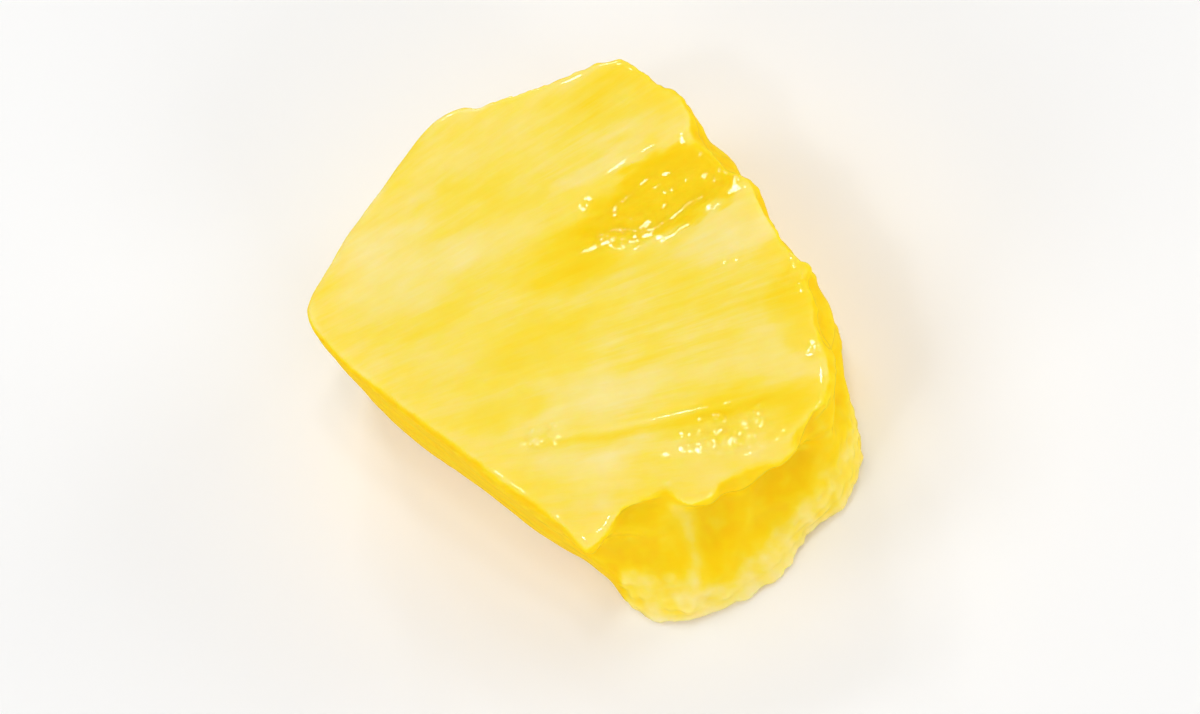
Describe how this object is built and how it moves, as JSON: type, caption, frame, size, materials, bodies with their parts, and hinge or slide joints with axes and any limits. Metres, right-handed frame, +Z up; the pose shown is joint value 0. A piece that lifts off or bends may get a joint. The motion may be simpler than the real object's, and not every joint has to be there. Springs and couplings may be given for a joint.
{
  "type": "peeled pineapple wedge",
  "caption": "Wedge of peeled pineapple: smooth fibrous cut faces, ragged peeled wall with eye hollows, and a flat cut face to lie on.",
  "frame": {"origin": "middle of the footprint's box, on the flat cut face that the wedge lies on", "axes": "+Z up, out of the upper cut face; the fibres run towards +X, from the core side to the peeled side; -Y is the ragged heel"},
  "size_m": [0.0536, 0.0622, 0.0219],
  "materials": {
    "pineapple_flesh": "wet, translucent, fibrous flesh"
  },
  "bodies": {
    "root": {"pineapple_wedge": "pineapple_flesh"}
  },
  "joints": []
}
